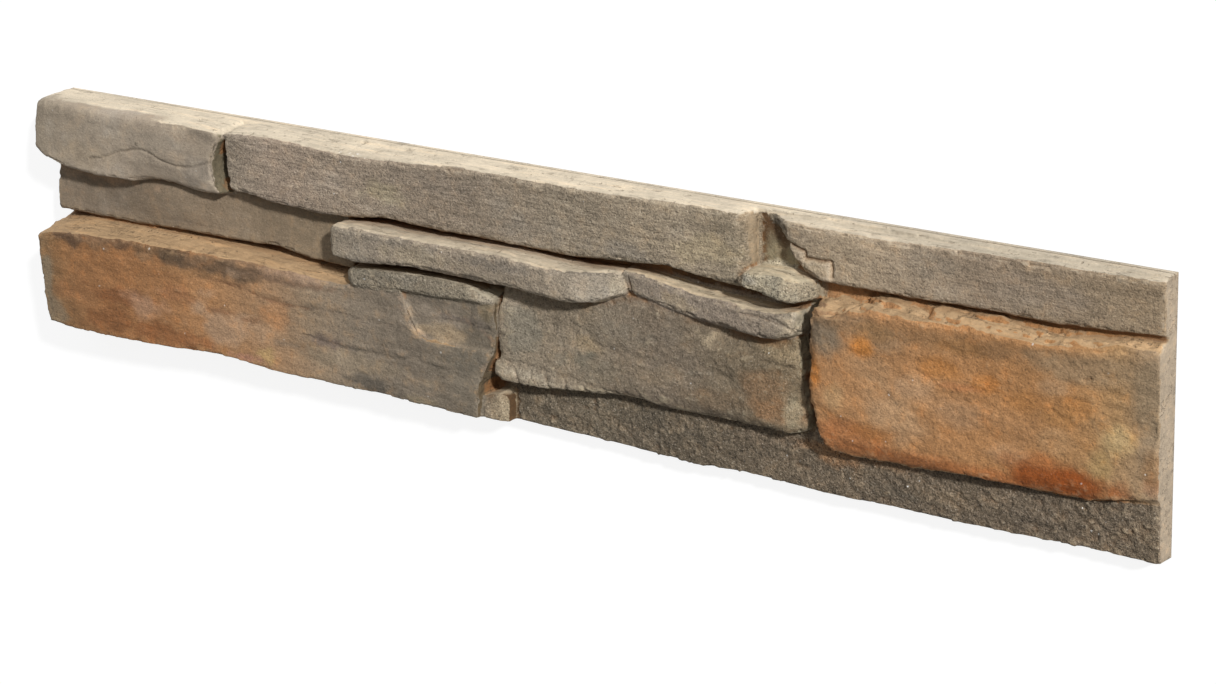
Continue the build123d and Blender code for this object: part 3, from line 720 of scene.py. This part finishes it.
class Wire:
    # a shader socket; maths on it adds Math nodes
    def __init__(self, socket):
        self.socket = socket

    def maths(self, operation, first, second):
        node = self.socket.id_data.nodes.new("ShaderNodeMath")
        node.operation = operation
        for place, value in enumerate((first, second)):
            if isinstance(value, Wire):
                self.socket.id_data.links.new(value.socket, node.inputs[place])
            else:
                node.inputs[place].default_value = value
        return Wire(node.outputs[0])

    def __add__(self, other):
        return self.maths("ADD", self, other)

    def __radd__(self, other):
        return self.maths("ADD", other, self)

    def __sub__(self, other):
        return self.maths("SUBTRACT", self, other)

    def __rsub__(self, other):
        return self.maths("SUBTRACT", other, self)

    def __mul__(self, other):
        return self.maths("MULTIPLY", self, other)

    def __rmul__(self, other):
        return self.maths("MULTIPLY", other, self)


class Finish:
    # a material, and one method for all its other nodes
    def __init__(self, name):
        self.material = bpy.data.materials.new(name)
        self.material.use_nodes = True
        self.tree = self.material.node_tree
        self.tree.nodes.clear()

    def add(self, kind, settings=None, sockets=None, output=None):
        node = self.tree.nodes.new("ShaderNode" + kind)
        for key, value in (settings or {}).items():
            setattr(node, key, value)
        for key, value in (sockets or {}).items():
            socket = next(s for s in node.inputs if s.enabled and key in (s.name, s.identifier))
            if isinstance(value, Wire):
                self.tree.links.new(value.socket, socket)
            else:
                socket.default_value = value
        outputs = [s for s in node.outputs if s.enabled and output in (None, s.name)]
        return Wire(outputs[0]) if outputs else None

    def mix(self, share, first, second):
        settings = {"data_type": "RGBA", "blend_type": "MIX", "clamp_factor": True}
        return self.add("Mix", settings, {"Factor": share, "A": first, "B": second})

    def scaled(self, colour, amount):
        return self.add("VectorMath", {"operation": "SCALE"}, {"Vector": colour, "Scale": amount})

    def tinted(self, colour, shift):
        return self.add("VectorMath", {"operation": "MULTIPLY"}, {"Vector": colour, "Vector_001": shift})

    def ramp(self, value, low, high):
        sockets = {"Value": value, "From Min": low, "From Max": high}
        return self.add("MapRange", {"interpolation_type": "SMOOTHSTEP"}, sockets)

    def noise(self, spot, scale, detail, roughness):
        sockets = {"Vector": spot, "Scale": scale, "Detail": detail, "Roughness": roughness}
        return self.add("TexNoise", None, sockets, "Fac")


stoneFinish = {
    # noises over the stone, as scale, detail and roughness; the drawn ones run along the slip
    "noises": {"slow": (32, 4, 0.6), "patchy": (110, 5, 0.65), "fine": (520, 3, 0.65),
               "grains": (960, 2, 0.6), "pits": (330, 2, 0.5)},
    "drawnNoises": {"streaks": (640, 4, 0.65), "lines": (260, 4, 0.65), "ridge": (150, 3, 0.6)},
    "drawnOut": (0.1, 1, 1),
    "mottle": 0.5,           # slow change of tone over a face
    "patches": 0.7,
    "grainTone": 1.2,        # change of tone from grain to grain
    "streakTone": 1.3,
    "warmShift": (1.14, 0.93, 0.7),
    "coolShift": (0.88, 0.97, 1.1),
    "pale": (0.66, 0.6, 0.5, 1),
    "dark": (0.05, 0.04, 0.03, 1),
    "crystal": (0.9, 0.88, 0.84, 1),
    # darker brown of joints, cracks and pits: partly their own colour, partly painted shade
    "creviceTintAndShade": (0.24, 0.118, 0.047, 1),
    "holeShade": (0.17, 0.12, 0.075, 1),
    "shadedBackGroove": 0.0031,      # thin groove along the top side, painted as shade, this far from the back, metres
    "shardScale": 300,       # crystals in the grainy stones
    "bumpDepth": 0.0013,
    "bumpStrength": 0.9,
    "roughness": 0.86,
    "specular": 0.3,
}


def castStone():
    finish = Finish("cast_stone")
    spot = finish.add("TexCoord", None, None, "Object")
    drawn = finish.add("Mapping", None, {"Vector": spot, "Scale": stoneFinish["drawnOut"]})
    read = {name: finish.add("Attribute", {"attribute_name": name}, None, "Vector")
            for name in ("tint", "bare", "masks", "grain", "marks")}
    split = {name: [finish.add("SeparateXYZ", None, {"Vector": read[name]}, axis) for axis in "XYZ"]
             for name in ("masks", "grain", "marks")}
    pigment, creviceTintAndShade, wear = split["masks"]
    streaky, speckled, warmth = split["grain"]
    topSide, crystal = split["marks"][:2]

    noises = [finish.noise(spot, *values) for values in stoneFinish["noises"].values()]
    slow, patchy, fine, grains, pits = noises
    streaks, lines, ridge = [finish.noise(drawn, *values) for values in stoneFinish["drawnNoises"].values()]

    # pigmented face: warm and cool patches, grain and fine lines along it
    warm = finish.tinted(read["tint"], stoneFinish["warmShift"])
    cool = finish.tinted(read["tint"], stoneFinish["coolShift"])
    tint = finish.mix(finish.ramp(patchy, 0.48, 0.75) * warmth * 0.7, read["tint"], warm)
    tint = finish.mix(finish.ramp(slow, 0.52, 0.72) * (1 - warmth) * 0.6, tint, cool)
    tone = 1 + (slow - 0.5) * stoneFinish["mottle"] + (patchy - 0.5) * stoneFinish["patches"]
    tone = tone + ((fine - 0.5) + (grains - 0.5) * 0.8) * speckled * stoneFinish["grainTone"]
    tone = tone + (streaks - 0.5) * streaky * stoneFinish["streakTone"]
    toned = finish.scaled(tint, tone)
    darkGrain = finish.ramp(0 - grains, -0.41, -0.33) * speckled
    paleGrain = finish.ramp(grains, 0.62, 0.7) * speckled * (1.2 - warmth)
    toned = finish.mix(darkGrain * 0.45, toned, stoneFinish["dark"])
    face = finish.mix(paleGrain * 0.3, toned, stoneFinish["pale"])

    # bare cement of the sides and ledges, with painted shade in its pits and slits and in a thin groove
    # along the top's back edge
    cementTone = 1 + (slow - 0.5) * 0.6 + (lines - 0.5) * 0.9 + (fine - 0.5) * 0.5
    cement = finish.scaled(read["bare"], cementTone)
    warmCement = finish.tinted(cement, stoneFinish["warmShift"])
    cement = finish.mix(finish.ramp(lines, 0.5, 0.7) * 0.25, cement, warmCement)
    pitted = finish.ramp(0 - pits, -0.33, -0.27)
    crest = ridge - 0.5
    slotted = (1 - finish.ramp(crest * crest, 0.0, 0.0006)) * finish.ramp(patchy, 0.5, 0.62)
    offset = (finish.add("SeparateXYZ", None, {"Vector": spot}, "Z") - stoneFinish["shadedBackGroove"]) * 1000
    shadedBackGroove = (1 - finish.ramp(offset * offset, 0.03, 0.3)) * topSide * finish.ramp(lines, 0.36, 0.5)
    # pits, slits and the back groove take a dark colour: painted shade
    cement = finish.mix(pitted * 0.4, cement, stoneFinish["holeShade"])
    cement = finish.mix(slotted * 0.3, cement, stoneFinish["holeShade"])
    cement = finish.mix(shadedBackGroove * 0.7, cement, stoneFinish["holeShade"])

    # the pigment ends in a ragged line, and is worn off the arrises
    border = finish.ramp(pigment, 0.0, 0.25) * (1 - finish.ramp(pigment, 0.75, 1.0))
    edge = pigment + ((patchy - 0.5) * 0.7 + (fine - 0.5) * 0.5) * border
    worn = wear * finish.ramp(patchy, 0.45, 0.62) * 0.55
    colour = finish.mix(finish.ramp(edge, 0.35, 0.65) * (1 - worn), cement, face)
    # joints, cracks and pits turn darker brown: partly their own colour, partly painted shade
    colour = finish.mix(creviceTintAndShade * (0.7 + fine * 0.4), colour, stoneFinish["creviceTintAndShade"])

    # white crystals: the marked ones, and a few in the grainy stones
    shards = {"Vector": spot, "Scale": stoneFinish["shardScale"]}
    shard = finish.add("TexVoronoi", {"feature": "F1"}, shards, "Distance")
    chance = finish.add("SeparateXYZ", None, {"Vector": Wire(shard.socket.node.outputs["Color"])}, "X")
    glint = finish.ramp(chance, 0.985, 0.99) * (1 - finish.ramp(shard, 0.1, 0.2)) * speckled * pigment
    glint = finish.ramp(crystal, 0.35, 0.75) + glint
    colour = finish.mix(glint * 0.55, colour, stoneFinish["crystal"])

    relief = fine * (0.15 + speckled * 0.55) + grains * speckled * 0.45 + streaks * streaky * 0.35
    dents = pitted * 0.5 + slotted * 0.5 + shadedBackGroove * 0.7
    relief = relief * pigment + (lines * 0.45 + fine * 0.35 - dents) * (1 - pigment)
    bump = finish.add("Bump", None, {
        "Strength": stoneFinish["bumpStrength"], "Distance": stoneFinish["bumpDepth"], "Height": relief})
    roughness = stoneFinish["roughness"] + (fine - 0.5) * 0.2 - glint * 0.4
    shader = finish.add("BsdfPrincipled", None, {
        "Base Color": colour, "Roughness": roughness, "Normal": bump,
        "Specular IOR Level": stoneFinish["specular"]})
    finish.add("OutputMaterial", None, {"Surface": shader})
    return finish.material


# The slip itself
skin = evenSkin(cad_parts["cladding_slip"], slip["voxel"])
print("even skin:", len(skin.vertices), "points")
carve(skin)
filled = filledMap(skin)
print("carved")
slipMesh = thinned(skin, slip["triangles"])
slipMesh.name = "stone_slip"
paint(slipMesh, filled)
slipMesh.polygons.foreach_set("use_smooth", np.ones(len(slipMesh.polygons), bool))
slipMesh.materials.clear()
slipMesh.materials.append(castStone())
stoneSlip = bpy.data.objects.new("stone_slip", slipMesh)
scene.collection.objects.link(stoneSlip)
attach(stoneSlip, "root")
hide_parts("cladding_slip")
print("stone slip:", len(slipMesh.polygons), "faces")

# Pale floor
floorValues = {"size": 12.0, "gap": 0.0002, "colour": (0.18, 0.18, 0.18, 1), "roughness": 0.9,
               "glow": (1, 1, 1, 1), "glowStrength": 0.86}
floorMesh = bpy.data.meshes.new("floor")
half = floorValues["size"] / 2
floorCorners = [(-half, -half, 0), (half, -half, 0), (half, half, 0), (-half, half, 0)]
floorMesh.from_pydata(floorCorners, [], [(0, 1, 2, 3)])
floor = bpy.data.objects.new("floor", floorMesh)
floor.location.z = -floorValues["gap"]
scene.collection.objects.link(floor)
paleFloor = Finish("pale_floor")
floorShader = paleFloor.add("BsdfPrincipled", None, {
    "Base Color": floorValues["colour"], "Roughness": floorValues["roughness"],
    "Emission Color": floorValues["glow"], "Emission Strength": floorValues["glowStrength"]})
paleFloor.add("OutputMaterial", None, {"Surface": floorShader})
floorMesh.materials.append(paleFloor.material)

# Studio light: a key from the upper right, a broad one over the top side, and the room
lamps = {
    "key": {"towards": (0.75, 0.45, 0.47), "strength": 3.6, "width": 4},      # width in degrees
    "top": {"towards": (0.10, 0.90, 0.42), "strength": 0.95, "width": 80},
}
roomStrength = 0.22
for name, lamp in lamps.items():
    light = bpy.data.lights.new(name, "SUN")
    light.energy = lamp["strength"]
    light.angle = math.radians(lamp["width"])
    holder = bpy.data.objects.new(name, light)
    towards = Vector(lamp["towards"]).normalized()
    holder.location = towards * 2
    holder.rotation_euler = towards.to_track_quat("Z", "Y").to_euler()
    scene.collection.objects.link(holder)
room = bpy.data.worlds.new("room")
room.use_nodes = True
roomGlow = room.node_tree.nodes["Background"].inputs
roomGlow["Color"].default_value = (1, 1, 1, 1)
roomGlow["Strength"].default_value = roomStrength
scene.world = room
scene.view_settings.view_transform = "Standard"
print("floor and light set")

# Camera: the photograph's view of the slip
shot = {
    "place": (1.05556, 0.47770, 1.23109),
    "yaw": 39.362, "pitch": 17.088, "roll": -1.883,    # degrees
    "imageSize": (1216, 684), "focal": 2950.13, "centre": (613.21, 327.58),    # pixels
}


def aim(yaw, pitch, roll):
    back = Vector((math.sin(yaw) * math.cos(pitch), math.sin(pitch), math.cos(yaw) * math.cos(pitch)))
    right = Vector((math.cos(yaw), 0, -math.sin(yaw)))
    up = back.cross(right)
    turned = math.cos(roll) * right + math.sin(roll) * up
    raised = math.cos(roll) * up - math.sin(roll) * right
    return Matrix((turned, raised, back)).transposed().to_4x4()


cameraData = bpy.data.cameras.new("camera")
camera = bpy.data.objects.new("camera", cameraData)
width, height = shot["imageSize"]
cameraData.sensor_width = 36
cameraData.lens = shot["focal"] / width * cameraData.sensor_width
cameraData.shift_x = (width / 2 - shot["centre"][0]) / width
cameraData.shift_y = (shot["centre"][1] - height / 2) / width
turn = aim(*[math.radians(shot[key]) for key in ("yaw", "pitch", "roll")])
camera.matrix_world = Matrix.Translation(shot["place"]) @ turn
scene.collection.objects.link(camera)
scene.camera = camera
print("camera set")
